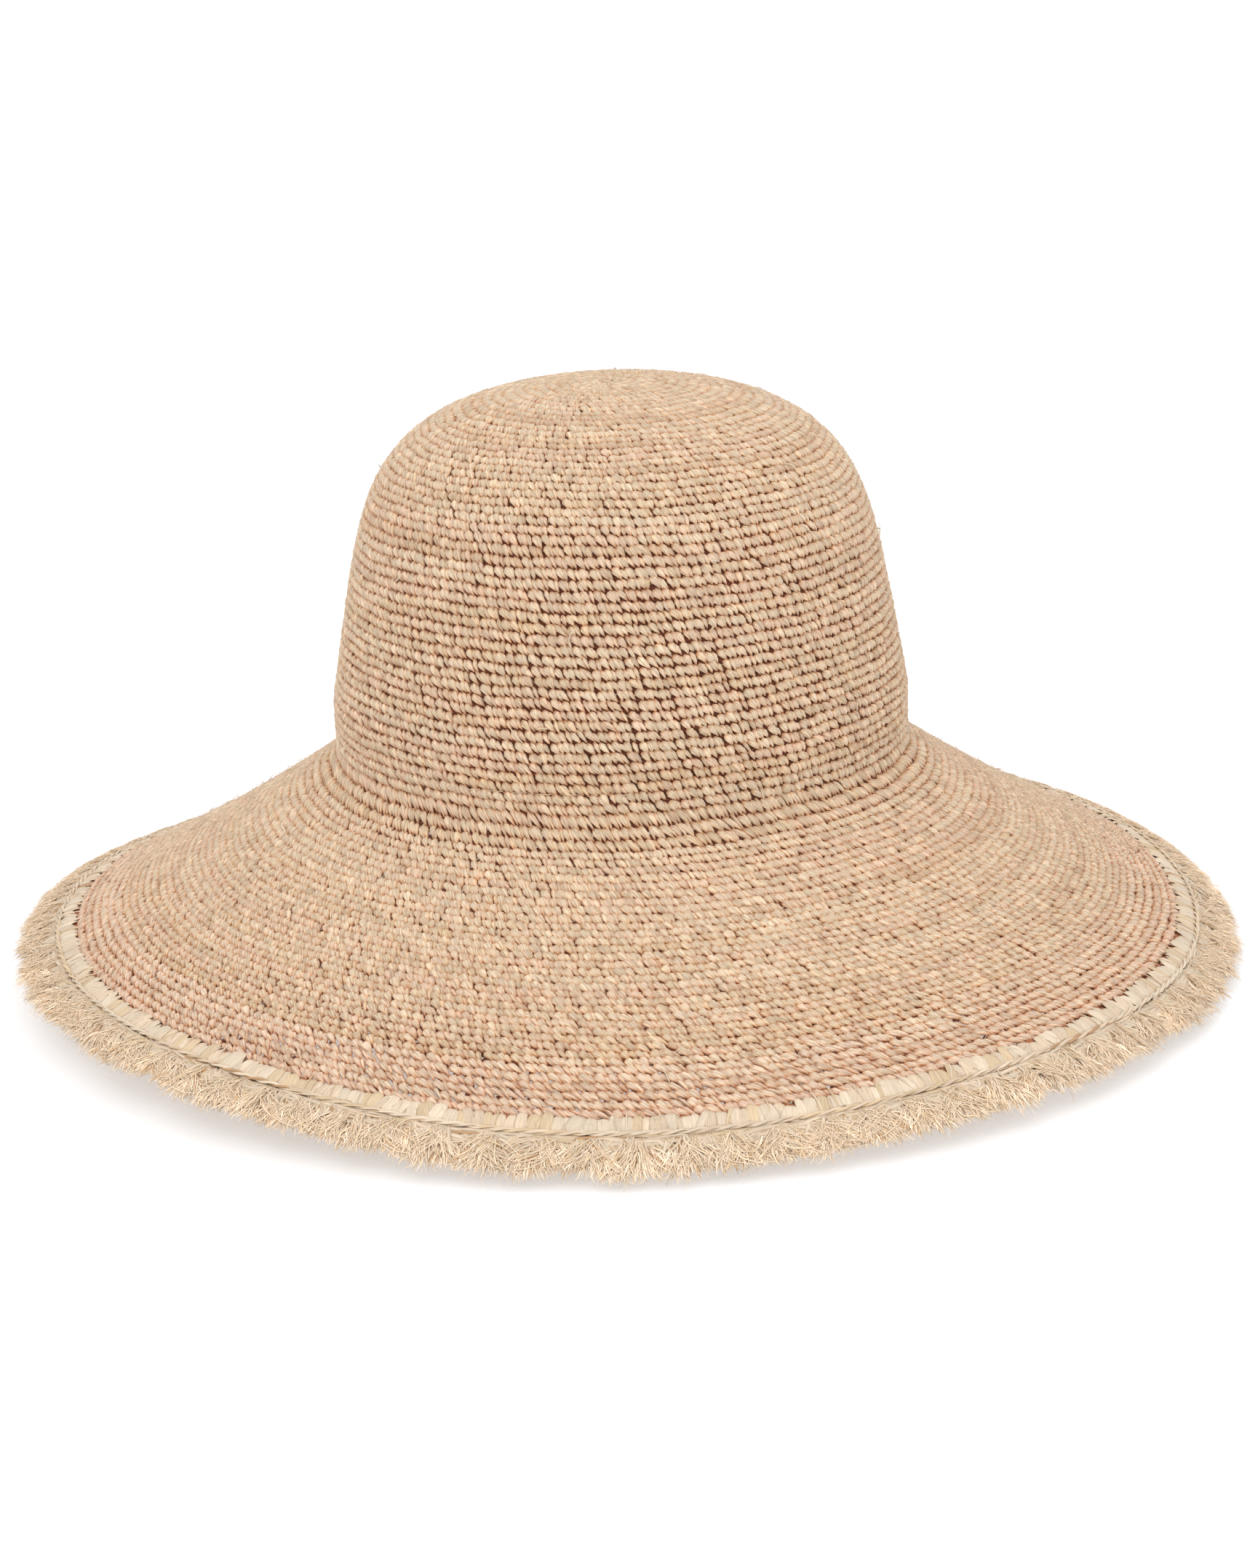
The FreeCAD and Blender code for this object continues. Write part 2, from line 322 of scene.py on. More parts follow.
def raffia_material(name, roughness=0.58, fibre_depth=0.5, patchiness=0.28, sheen=0.1):
    """Split raffia: the strand's own tint with fine long fibres that darken, lift and gloss it."""
    material = bpy.data.materials.new(name)
    material.use_nodes = True
    nodes = material.node_tree.nodes
    links = material.node_tree.links
    shader = nodes["Principled BSDF"]
    shader.inputs["Sheen Weight"].default_value = sheen
    shader.inputs["Sheen Roughness"].default_value = 0.4
    shader.inputs["Specular IOR Level"].default_value = 0.35
    place_on = nodes.new("ShaderNodeUVMap")
    place_on.uv_map = "Fibre"
    stretch = nodes.new("ShaderNodeMapping")
    stretch.inputs["Scale"].default_value = (2.9, 0.14, 1.0)
    links.new(place_on.outputs["UV"], stretch.inputs["Vector"])
    fibres = nodes.new("ShaderNodeTexNoise")
    fibres.inputs["Scale"].default_value = 1.0
    fibres.inputs["Detail"].default_value = 2.0
    fibres.inputs["Roughness"].default_value = 0.6
    links.new(stretch.outputs["Vector"], fibres.inputs["Vector"])
    streaks = nodes.new("ShaderNodeMapRange")
    streaks.inputs["From Min"].default_value = 0.36
    streaks.inputs["From Max"].default_value = 0.64
    streaks.inputs["To Min"].default_value = 1.0 - patchiness
    streaks.inputs["To Max"].default_value = 1.0 + patchiness
    links.new(fibres.outputs["Fac"], streaks.inputs["Value"])
    tint = nodes.new("ShaderNodeVertexColor")
    tint.layer_name = "Tint"
    shaded = nodes.new("ShaderNodeVectorMath")
    shaded.operation = "SCALE"
    links.new(tint.outputs["Color"], shaded.inputs[0])
    links.new(streaks.outputs["Result"], shaded.inputs["Scale"])
    links.new(shaded.outputs["Vector"], shader.inputs["Base Color"])
    gloss = nodes.new("ShaderNodeMapRange")
    gloss.inputs["To Min"].default_value = roughness + 0.15
    gloss.inputs["To Max"].default_value = roughness - 0.15
    links.new(fibres.outputs["Fac"], gloss.inputs["Value"])
    links.new(gloss.outputs["Result"], shader.inputs["Roughness"])
    bump = nodes.new("ShaderNodeBump")
    bump.inputs["Strength"].default_value = 1.0
    bump.inputs["Distance"].default_value = fibre_depth * MM
    links.new(fibres.outputs["Fac"], bump.inputs["Height"])
    links.new(bump.outputs["Normal"], shader.inputs["Normal"])
    return material


def ribbon_material():
    """Grosgrain: fine cords across the ribbon with a woven selvedge."""
    material = bpy.data.materials.new("ribbon")
    material.use_nodes = True
    nodes = material.node_tree.nodes
    links = material.node_tree.links
    shader = nodes["Principled BSDF"]
    shader.inputs["Roughness"].default_value = 0.75
    shader.inputs["Sheen Weight"].default_value = 0.3
    place_on = nodes.new("ShaderNodeUVMap")
    place_on.uv_map = "Weave"
    cords = nodes.new("ShaderNodeTexWave")
    cords.bands_direction = "X"
    cords.inputs["Scale"].default_value = 0.36
    cords.inputs["Distortion"].default_value = 0.3
    links.new(place_on.outputs["UV"], cords.inputs["Vector"])
    colour = nodes.new("ShaderNodeMix")
    colour.data_type = "RGBA"
    colour.inputs["A"].default_value = (*linear(196, 174, 142), 1)
    colour.inputs["B"].default_value = (*linear(232, 216, 190), 1)
    links.new(cords.outputs["Fac"], colour.inputs["Factor"])
    links.new(colour.outputs["Result"], shader.inputs["Base Color"])
    bump = nodes.new("ShaderNodeBump")
    bump.inputs["Strength"].default_value = 0.8
    bump.inputs["Distance"].default_value = 0.25 * MM
    links.new(cords.outputs["Fac"], bump.inputs["Height"])
    links.new(bump.outputs["Normal"], shader.inputs["Normal"])
    return material


# ---------------------------------------------------------------- crocheted rounds

# Straw colours that the maker's strands come in, with how common each is
STRAW = (
    (linear(226, 206, 179), 0.26),
    (linear(222, 199, 169), 0.30),
    (linear(221, 190, 165), 0.26),
    (linear(213, 186, 151), 0.13),
    (linear(202, 166, 133), 0.05),
)
PINK = linear(235, 207, 185)
PINK_SHARE = 0.32         # of the openwork's colour
LAST_SHARE = 0.45         # of its last round's colour
LAST_ROUND = linear(227, 190, 164)
SHADOW = np.array([0.60, 0.26, 0.12])    # how much light the sides of the stitches keep
DEEP_SHADOW = np.array([0.16, 0.05, 0.02])   # and the bars behind them

# How a stitch looks in the middle of each node: lean of its loops in degrees, fullness,
# how far its loops stand above the surface, how far they dip at their lower ends, and
# their reach up and down as a share of the round's height
STITCH_LOOKS = {
    "crown_button": (68, 1.20, 0.10, 0.6, 0.78),
    "crown_tip": (66, 1.18, 0.10, 0.6, 0.78),
    "crown_shoulder": (61, 1.08, 0.22, 0.95, 0.68),
    "crown_upper_wall": (56, 0.98, 0.36, 1.5, 0.61),
    "crown_lower_wall": (52, 0.95, 0.42, 1.65, 0.60),
    "brim_turn": (54, 1.04, 0.30, 1.35, 0.64),
    "brim_inner": (57, 1.15, 0.14, 0.8, 0.72),
    "brim_middle": (51, 1.16, 0.12, 0.78, 0.72),
    "brim_openwork": (36, 1.14, 0.13, 1.15, 0.61),
}
# Rounds of stitches that each node holds
ROUNDS = {
    "crown_button": 1,
    "crown_tip": 14,
    "crown_shoulder": 13,
    "crown_upper_wall": 13,
    "crown_lower_wall": 13,
    "brim_turn": 3,
    "brim_inner": 9,
    "brim_middle": 19,
    "brim_openwork": 6,
}
STITCH_DRIFT = 0.22       # each round's stitches start this much of a stitch further on
STITCHES_A_PIECE = 1000
STITCH_WIDTH_TOP = 3.3
WALL_STITCHES = 152
BRIM_STITCHES = ((96.0, 196), (140.0, 248), (205.0, 256))


def stretch_of(node):
    """Where a node starts and ends down the outline."""
    names = list(CROWN_NODES + BRIM_NODES)
    i = names.index(node)
    start = 0.0 if i == 0 else stretch_end(names[i - 1])
    return start, stretch_end(node)


def stretch_end(node):
    if node == "crown_lower_wall":
        return float(np.interp(-TURN_HEIGHT, -HEIGHT, LENGTH))
    return length_at_radius(outer_radius(node))


def stitches_in_round(radius, on_brim):
    if on_brim:
        radii, counts = zip(*BRIM_STITCHES)
        return round(float(np.interp(radius, radii, counts)))
    return max(7, min(WALL_STITCHES, round(2 * math.pi * radius / STITCH_WIDTH_TOP)))


def straw_tones(total):
    """Tints of stitches in working order: one strand of raffia lasts for a few dozen stitches."""
    tones = np.empty((total, 3))
    colours, shares = zip(*STRAW)
    done = 0
    while done < total:
        length = int(rng.integers(8, 70))
        pick = colours[rng.choice(len(colours), p=shares)]
        tones[done:done + length] = (pick + 1.2 * np.mean(colours, 0)) / 2.2 * rng.uniform(0.97, 1.03)
        done += length
    mixed = rng.choice(len(colours), total, p=shares)
    own = np.array(colours)[mixed]
    blend = rng.uniform(0.1, 0.5, (total, 1))
    return (tones * (1 - blend) + own * blend) * rng.uniform(0.96, 1.13, (total, 1))


def lay_rounds(node, phase):
    """Every stitch of a node: place down the outline, direction, width, pitch, round and tint."""
    start, end = stretch_of(node)
    rounds = ROUNDS[node]
    pitch = (end - start) / rounds
    on_brim = node in BRIM_NODES
    rows = []
    for number in range(rounds):
        length = start + pitch * (number + 0.5)
        radius = float(np.interp(length, LENGTH, RADIUS))
        count = stitches_in_round(radius, on_brim)
        angle = phase + 2 * math.pi * (np.arange(count) + rng.normal(0, 0.05, count)) / count
        phase += STITCH_DRIFT * 2 * math.pi / count + rng.normal(0, 0.1) / count
        row = np.stack([
            np.full(count, length), angle, np.full(count, 2 * math.pi * radius / count),
            np.full(count, pitch), np.full(count, number)], 1)
        rows.append(row)
    stitches = np.concatenate(rows)
    return stitches, straw_tones(len(stitches)), phase


def sway(length, angle):
    """Slow wander of the rounds up and down, so that they don't run dead level."""
    slow = 0.35 * np.sin(3 * angle + 0.045 * length) + 0.25 * np.sin(7 * angle - 0.11 * length + 1.3)
    return slow + 0.15 * np.sin(19 * angle + 0.2 * length)


def looks_at(length):
    """Lean, fullness, stand, dip and reach of the stitches at places down the outline."""
    middles = [sum(stretch_of(node)) / 2 for node in STITCH_LOOKS]
    return [np.interp(length, middles, values) for values in zip(*STITCH_LOOKS.values())]


FRONT_SIDES = 10
BESIDE_SIDES = 6
BAR_SIDES = 6
GROOVE_TOP = -0.25        # lift where a loop starts to lose light
GROOVE_DEPTH = 1.15       # and how much deeper it has lost the most
UNDERSIDE = 0.6           # share of a strand's half thickness beyond which it counts as underside
BACK_FACE = -1.9          # lift below which the bar behind a stitch shows inside the hat
FRONT_STEPS = np.array([-1, -0.9, -0.5, 0, 0.5, 0.86, 1])
SIDE_STEPS = np.array([-1, -0.88, -0.4, 0.15, 0.68, 1])
BAR_STEPS = np.array([-1, -0.85, 0, 0.85, 1])


def loop_path(steps, lean, half_length, across, down, stand, dip, bow, peak=-0.25):
    """Path of a slanting loop that stands proud near its top and dips at its ends."""
    u = steps[None]
    along_x = np.cos(lean)[:, None] * half_length[:, None]
    along_y = np.sin(lean)[:, None] * half_length[:, None]
    arch = bow[:, None] * (1 - u ** 2)
    x = across[:, None] + along_x * u + arch * np.sin(lean)[:, None]
    y = down[:, None] + along_y * u - arch * np.cos(lean)[:, None]
    fall = np.where(u > peak, (u - peak) / (1 - peak), 0.72 * (peak - u) / (1 + peak))
    lift = stand[:, None] - dip[:, None] * fall ** 2
    return np.stack([x, y, lift], -1)


def loop_girth(steps, half_width, taper):
    """Half width along a loop: full near the top, drawn in towards its lower end."""
    u = steps[None]
    ends = np.sqrt(np.maximum(0, 1 - np.abs(u) ** np.where(u < 0, 5.0, 3.0)))
    narrowing = np.broadcast_to(taper, half_width.shape)[:, None] * np.clip((u + 0.3) / 1.1, 0, 1)
    return half_width[:, None] * ends * (1 - narrowing)


def crevice_shade(sides):
    """Darkens what lies deep between the loops, as light is lost there, but not their undersides."""
    def shade(local, share):
        depth = np.clip((GROOVE_TOP - local[..., 2]) / GROOVE_DEPTH, 0, 1)
        low_end = np.clip((share - 0.7) / 0.3, 0, 1) * 0.35
        dark = np.clip(depth + low_end, 0, 1)
        rings = local[:, 1:-1, 2].reshape(len(local), -1, sides)
        offset = rings - rings.mean(2, keepdims=True)
        under = offset < -UNDERSIDE * np.abs(offset).max(2, keepdims=True)
        dark[:, 1:-1] *= ~under.reshape(len(local), -1)
        return SHADOW ** dark[..., None]
    return shade


def backing_shade(local, share):
    """Darkens the outer face of the bar behind each stitch, and leaves its inner face light."""
    return DEEP_SHADOW ** np.clip((local[..., 2] - BACK_FACE) / 0.7, 0, 1)[..., None]


def stitch_bundle(stitches, tones, openwork):
    """Every stitch as a full front loop, a slimmer one beside it and the bar behind them."""
    bundle = Bundle()
    length, angle, width, pitch = stitches[:, :4].T
    count = len(stitches)
    lean, full, stand, dip, span = looks_at(length)
    to_world = on_hat(length + sway(length, angle), angle, -FABRIC + 0.08)

    def vary(spread):
        return rng.normal(0, spread, count)

    size = full * (1 + vary(0.05))
    tilt = np.radians(lean + vary(5))
    reach = span * pitch / np.sin(tilt)
    gap = width * np.sin(tilt)
    front = loop_path(
        FRONT_STEPS, tilt, reach * (1 + vary(0.06)), -0.2 * width + vary(0.16), vary(0.16),
        stand - 0.85 + vary(0.09), dip + vary(0.12), 0.25 + vary(0.14))
    flat = np.ones(count)
    narrowing = 0.62 + 0.2 * dip
    girth = loop_girth(FRONT_STEPS, 0.46 * gap * size, narrowing)
    depth = loop_girth(FRONT_STEPS, 0.9 * flat, 0.4)
    bundle.add(front, girth, depth, FRONT_SIDES, to_world, tones, grid_cells(count, 0, 0.55),
               crevice_shade(FRONT_SIDES), 0.16)
    tilt = np.radians(lean + 4 + vary(7))
    beside = loop_path(
        SIDE_STEPS, tilt, reach * (1 + vary(0.08)), 0.28 * width + vary(0.18), vary(0.18),
        stand - 0.95 + vary(0.1), dip * 1.05 + vary(0.12), 0.15 + vary(0.12))
    girth = loop_girth(SIDE_STEPS, 0.32 * gap * size, narrowing - 0.08)
    depth = loop_girth(SIDE_STEPS, 0.85 * flat, 0.4)
    bundle.add(beside, girth, depth, BESIDE_SIDES, to_world,
               tones * rng.uniform(0.92, 1.06, (count, 1)), grid_cells(count, 0.55, 0.85),
               crevice_shade(BESIDE_SIDES))
    # short narrow bars leave the holes of the openwork open
    bar_reach, bar_width = (0.22, 0.4) if openwork else (0.62, 0.56)
    bar = loop_path(
        BAR_STEPS, vary(0.06), bar_reach * width, -0.1 * width, 0.3 * pitch + vary(0.1),
        -1.5 * flat, 0.12 * flat, 0 * flat, peak=0.0)
    girth = loop_girth(BAR_STEPS, bar_width * pitch, 0.0)
    bundle.add(bar, girth, 0 * girth + 0.6, BAR_SIDES, to_world, tones, grid_cells(count, 0.85, 1),
               backing_shade)
    return bundle


def crochet(material, pink_material):
    """All rounds of the crown and the brim, a few rounds to a piece."""
    phase = 0.0
    for node in CROWN_NODES + BRIM_NODES:
        stitches, tones, phase = lay_rounds(node, phase)
        openwork = node == "brim_openwork"
        if openwork:
            pink = PINK * rng.uniform(0.92, 1.1, (len(tones), 1))
            tones = tones * (1 - PINK_SHARE) + pink * PINK_SHARE
            last = stitches[:, 4] == ROUNDS[node] - 1
            tones[last] = tones[last] * (1 - LAST_SHARE) + LAST_ROUND * LAST_SHARE
        look, slot = (pink_material, "pink_raffia") if openwork else (material, "raffia")
        pieces = max(1, round(len(stitches) / STITCHES_A_PIECE + 0.3))
        groups = np.minimum(stitches[:, 4] * pieces // ROUNDS[node], pieces - 1)
        for part in range(pieces):
            here = groups == part
            name = f"{node}_rounds_{part + 1}" if pieces > 1 else f"{node}_rounds"
            stitch_bundle(stitches[here], tones[here], openwork).piece(name, look, [node], slot)


# ---------------------------------------------------------------- the whipped and frayed edge

# Pale straw colours of the edge, with how common each is
PALE = (
    (linear(228, 209, 184), 0.42),
    (linear(223, 201, 174), 0.36),
    (linear(218, 193, 158), 0.17),
    (linear(196, 156, 116), 0.05),
)
EDGE_START = length_at_radius(outer_radius("brim_openwork"))
CORD_LENGTH = length_at_radius(outer_radius("brim_edging"))
STRAND_STEPS = np.array([-1, -0.92, -0.6, -0.15, 0.4, 0.85, 1])
HAIR_STEPS = np.array([-1, -0.75, -0.1, 0.55, 1])
STRAP_SPACING = 2.7       # mean spacing of the edging's straps
STRAP_OVER = (-0.9, -0.3, 0.15, 0.3, 0.3, 0.1, -0.4)         # lift down a strap above the fabric
STRAP_UNDER = (-1.4, -2.0, -2.4, -2.5, -2.4, -2.1, -1.6)     # and below it
CORE_SPACING = 5.0
CROSSING_STRANDS = 110
CORD_RUNS = 40            # overlapping lengths that each strand of the cord is laid in
CORD_LAY = 9.8            # length of one twist of the cord, before whole twists are fitted
LOBE_SPACING = 7.0        # of the braid's points, along the edge
LEVEL_ROWS = [1.6, 4.6, 7.4]    # how far below the cord the braid's level strands lie
LOOSE_FIBRES = 2600
CUT_ENDS = 46


def pale_tones(count, darkest=1.0):
    colours, shares = zip(*PALE)
    shares = np.array(shares) * (1, 1, 1, darkest)
    pick = rng.choice(len(colours), count, p=shares / shares.sum())
    return np.array(colours)[pick] * rng.uniform(0.9, 1.08, (count, 1))


def sweep(steps, start, end, bow, lifts):
    """Paths from start to end, bowed aside by a share of their length; lifts at start, middle, end."""
    t = (steps[None, :, None] + 1) / 2
    way = end - start
    aside = np.stack([-way[:, 1], way[:, 0]], 1)
    arch = aside[:, None] * bow[:, None, None] * 4 * t * (1 - t)
    flat = start[:, None] * (1 - t) + end[:, None] * t + arch
    first, middle, last = [np.broadcast_to(lift, bow.shape)[:, None, None] for lift in lifts]
    lift = first * (1 - t) * (1 - 2 * t) + middle * 4 * t * (1 - t) + last * t * (2 * t - 1)
    return np.concatenate([flat, lift], -1)


def pairs(x, y):
    return np.stack([x, y], 1)


def below_cord(angle):
    """Local millimetres measured from the cord, at each strand's direction."""
    return on_hat(np.full(len(angle), CORD_LENGTH), angle)


def edging(material):
    """Broad flat straps that wrap the edge side by side, over a core that shows in the gaps."""
    length = (EDGE_START + CORD_LENGTH) / 2
    half = (CORD_LENGTH - EDGE_START) / 2
    radius = float(np.interp(length, LENGTH, RADIUS))
    count = round(2 * math.pi * radius / STRAP_SPACING)
    spacing = rng.uniform(1.3, 4.6, count)
    spacing *= 2 * math.pi * radius / spacing.sum()
    angle = (np.cumsum(spacing) - spacing / 2) / radius
    to_world = on_hat(np.full(count, length), angle)
    bundle = Bundle()
    for lifts, cells in ((STRAP_OVER, (0, 0.4)), (STRAP_UNDER, (0.4, 0.8))):
        lean = rng.normal(0, 0.8, count)
        top = -half - 1.0 + rng.normal(0, 0.6, count)
        t = (STRAND_STEPS[None] + 1) / 2
        down = top[:, None] * (1 - t) + (half + 0.3) * t
        lift = np.array(lifts)[None] + rng.normal(0, 0.12, (count, 1))
        path = np.stack([lean[:, None] * (1 - 2 * t), down, lift], -1)
        girth = loop_girth(STRAND_STEPS, spacing * rng.uniform(0.52, 0.8, count), -0.35)
        thick = loop_girth(STRAND_STEPS, np.full(count, 0.22), 0.0)
        bundle.add(path, girth, thick, 10, to_world, pale_tones(count, 0.3),
                   grid_cells(count, *cells), None, 0.3)
    core = round(2 * math.pi * radius / CORE_SPACING)
    angle = 2 * math.pi * np.arange(core) / core
    flat = np.ones(core)
    path = sweep(STRAND_STEPS, pairs(-3.2 * flat, -0.4 * flat), pairs(3.2 * flat, -0.4 * flat),
                 0 * flat, (-1.1, -1.1, -1.1))
    girth = loop_girth(STRAND_STEPS, 3.5 * flat, 0.0)
    bundle.add(path, girth, 0 * girth + 0.8, 6, on_hat(length * flat, angle),
               pale_tones(core) * SHADOW, grid_cells(core, 0.8, 0.95))
    strays = CROSSING_STRANDS
    angle = rng.uniform(0, 2 * math.pi, strays)
    begin = pairs(rng.normal(0, 0.8, strays), -half - rng.uniform(0.5, 4, strays))
    finish = pairs(rng.normal(0, 1.5, strays), half + rng.uniform(-0.5, 3, strays))
    path = sweep(STRAND_STEPS, begin, finish, rng.normal(0, 0.06, strays), (-0.6, 0.7, -0.3))
    girth = loop_girth(STRAND_STEPS, rng.uniform(0.14, 0.32, strays), 0.2)
    bundle.add(path, girth, 0 * girth + 0.12, 6, on_hat(np.full(strays, length), angle),
               pale_tones(strays, 0.2), grid_cells(strays, 0.95, 1))
    bundle.piece("edging_straps", material, ["brim_edging"], "pale_raffia")


def edge_cord(material):
    """A thin cord of two flat strands laid round the edge, twisted round each other."""
    radius = float(np.interp(CORD_LENGTH, LENGTH, RADIUS))
    runs = CORD_RUNS
    reach = 2 * math.pi * radius / runs * 0.58
    steps = np.linspace(-1, 1, 46)
    angle = 2 * math.pi * np.arange(runs) / runs
    lays = round(2 * math.pi * radius / CORD_LAY)
    bundle = Bundle()
    for strand, cells in ((0.0, (0, 0.5)), (math.pi, (0.5, 1))):
        x = reach * steps[None] + rng.normal(0, 0.4, (runs, 1))
        twist = strand + lays * (angle[:, None] + x / radius)
        loose = 1 + 0.25 * np.sin(5 * angle[:, None] + x * 0.3)
        path = np.stack([x, 0.38 * loose * np.cos(twist), 0.52 + 0.3 * np.sin(twist)], -1)
        girth = loop_girth(steps, rng.uniform(0.38, 0.58, runs), 0.0)
        thick = loop_girth(steps, np.full(runs, 0.26), 0.0)
        bundle.add(path, girth, thick, 8, below_cord(angle), pale_tones(runs, 0.2),
                   grid_cells(runs, *cells), None, 0.25)
    bundle.piece("edge_cord_strands", material, ["edge_cord"], "pale_raffia")


def lobe_centres():
    """Where the braid's points lie round the edge, and which way each leans."""
    radius = float(np.interp(CORD_LENGTH + 8, LENGTH, RADIUS))
    count = 2 * round(math.pi * radius / LOBE_SPACING)
    angle = 2 * math.pi * (np.arange(count) + rng.normal(0, 0.15, count)) / count
    return angle, np.where(np.arange(count) % 2, 1.0, -1.0) * rng.uniform(0.3, 1.3, count)


def shares_of(items, parts):
    """The items cut into so many runs, numbered from 1."""
    return enumerate(np.array_split(items, parts), 1)


def braid(name, material, centres, leans):
    """Flat strands sewn on below the cord, above and below the fabric: level ones, long slanting
    ones, an even slanting layer, and fans that lean to and fro."""
    bundle = Bundle()

    def spread(each):
        lean = np.repeat(leans, each)
        return below_cord(np.repeat(centres, each)), lean, len(lean)

    row = np.tile(LEVEL_ROWS, len(centres))
    to_world, lean, count = spread(len(LEVEL_ROWS))
    for lift, shade, cells in ((-0.7, SHADOW ** 0.25, (0, 0.25)), (-1.7, 1.0, (0.25, 0.4))):
        path = sweep(STRAND_STEPS, pairs(0 * row - 4.8, row), pairs(0 * row + 4.8, row),
                     0 * row, (lift, lift, lift))
        girth = loop_girth(STRAND_STEPS, 0 * row + 1.9, 0.0)
        bundle.add(path, girth, 0 * girth + 0.55, 6, to_world, pale_tones(count, 0) * shade,
                   grid_cells(count, *cells))
    to_world, lean, count = spread(6)
    start = rng.uniform(-0.6, 5.0, count)
    half = rng.uniform(5, 11, count)
    centre = rng.uniform(-5, 5, count)
    slope = lean * rng.uniform(0.02, 0.3, count)
    begin = pairs(centre - half, start - slope * half)
    finish = pairs(centre + half, start + slope * half)
    for under, cells in ((0.0, (0.4, 0.5)), (1.0, (0.5, 0.55))):
        lift = rng.uniform(-0.1, 0.3, count) * (1 - under) - 2.3 * under
        path = sweep(STRAND_STEPS, begin, finish, rng.normal(0, 0.05, count),
                     (lift - 0.5 + under, lift, lift - 0.5 + under))
        girth = loop_girth(STRAND_STEPS, rng.uniform(0.4, 1.1, count), 0.2)
        bundle.add(path, girth, 0 * girth + 0.18, 4, to_world, pale_tones(count, 0.5),
                   grid_cells(count, *cells))
    to_world, lean, count = spread(12)
    begin = pairs(rng.uniform(-4.5, 4.5, count), rng.uniform(0.0, 1.6, count))
    slant = np.sign(lean) * rng.uniform(1.5, 6, count)
    finish = begin + pairs(slant, rng.uniform(4.0, 7.5, count))
    lift = rng.uniform(-0.25, 0.25, count)
    bow = np.sign(lean) * rng.uniform(0, 0.15, count)
    path = sweep(STRAND_STEPS, begin, finish, bow, (lift - 0.3, lift, lift - 0.4))
    girth = loop_girth(STRAND_STEPS, rng.uniform(0.4, 0.85, count), 0.2)
    bundle.add(path, girth, 0 * girth + 0.16, 4, to_world, pale_tones(count, 0.6),
               grid_cells(count, 0.55, 0.6))
    to_world, lean, count = spread(18)
    begin = pairs(-lean * rng.uniform(0, 7, count), rng.uniform(0.3, 5, count))
    finish = pairs(lean * rng.uniform(-2, 5, count), rng.uniform(7, 11.5, count))
    bow = lean * rng.uniform(0.02, 0.26, count)
    for under, cells in ((0.0, (0.6, 0.8)), (1.0, (0.8, 1.0))):
        crest = rng.uniform(0.2, 0.8, count) * (1 - under) - 2.7 * under
        path = sweep(STRAND_STEPS, begin, finish, bow,
                     (crest - 0.7 + 1.4 * under, crest, crest - 1.0 + 1.6 * under))
        girth = loop_girth(STRAND_STEPS, rng.uniform(0.2, 0.7, count), 0.4)
        bundle.add(path, girth, 0 * girth + 0.16, 4, to_world, pale_tones(count),
                   grid_cells(count, *cells))
    bundle.piece(name, material, ["fringe_braid"], "pale_raffia")


# The layers of the fringe: strands to a tuft, where they start below the cord, how long and half
# how wide they are, how much they scatter in degrees, how evenly they are spread between the
# tufts, and their part of the map
FRINGE_LAYERS = (
    (46, (5.0, 8.5), (4.5, 7.5), (0.16, 0.42), 14, 1.0, (0, 0.2)),
    (44, (4.0, 8.0), (5.0, 9.0), (0.14, 0.36), 6, 0.0, (0.2, 0.4)),
    (50, (8.0, 12.0), (3.0, 5.5), (0.1, 0.28), 11, 0.15, (0.4, 0.6)),
    (14, (9.0, 14.0), (1.5, 5.0), (0.05, 0.12), 40, 0.3, (0.6, 0.75)),
)
LONG_STRANDS = 30         # to a tuft, over the braid
# painted light: the fringe's strands, and the long ones over the braid, are paler than their straw to
# make up for the shade they cast on each other
FRINGE_PAINTED_LIGHT = 1.24
LONG_PAINTED_LIGHT = 1.2


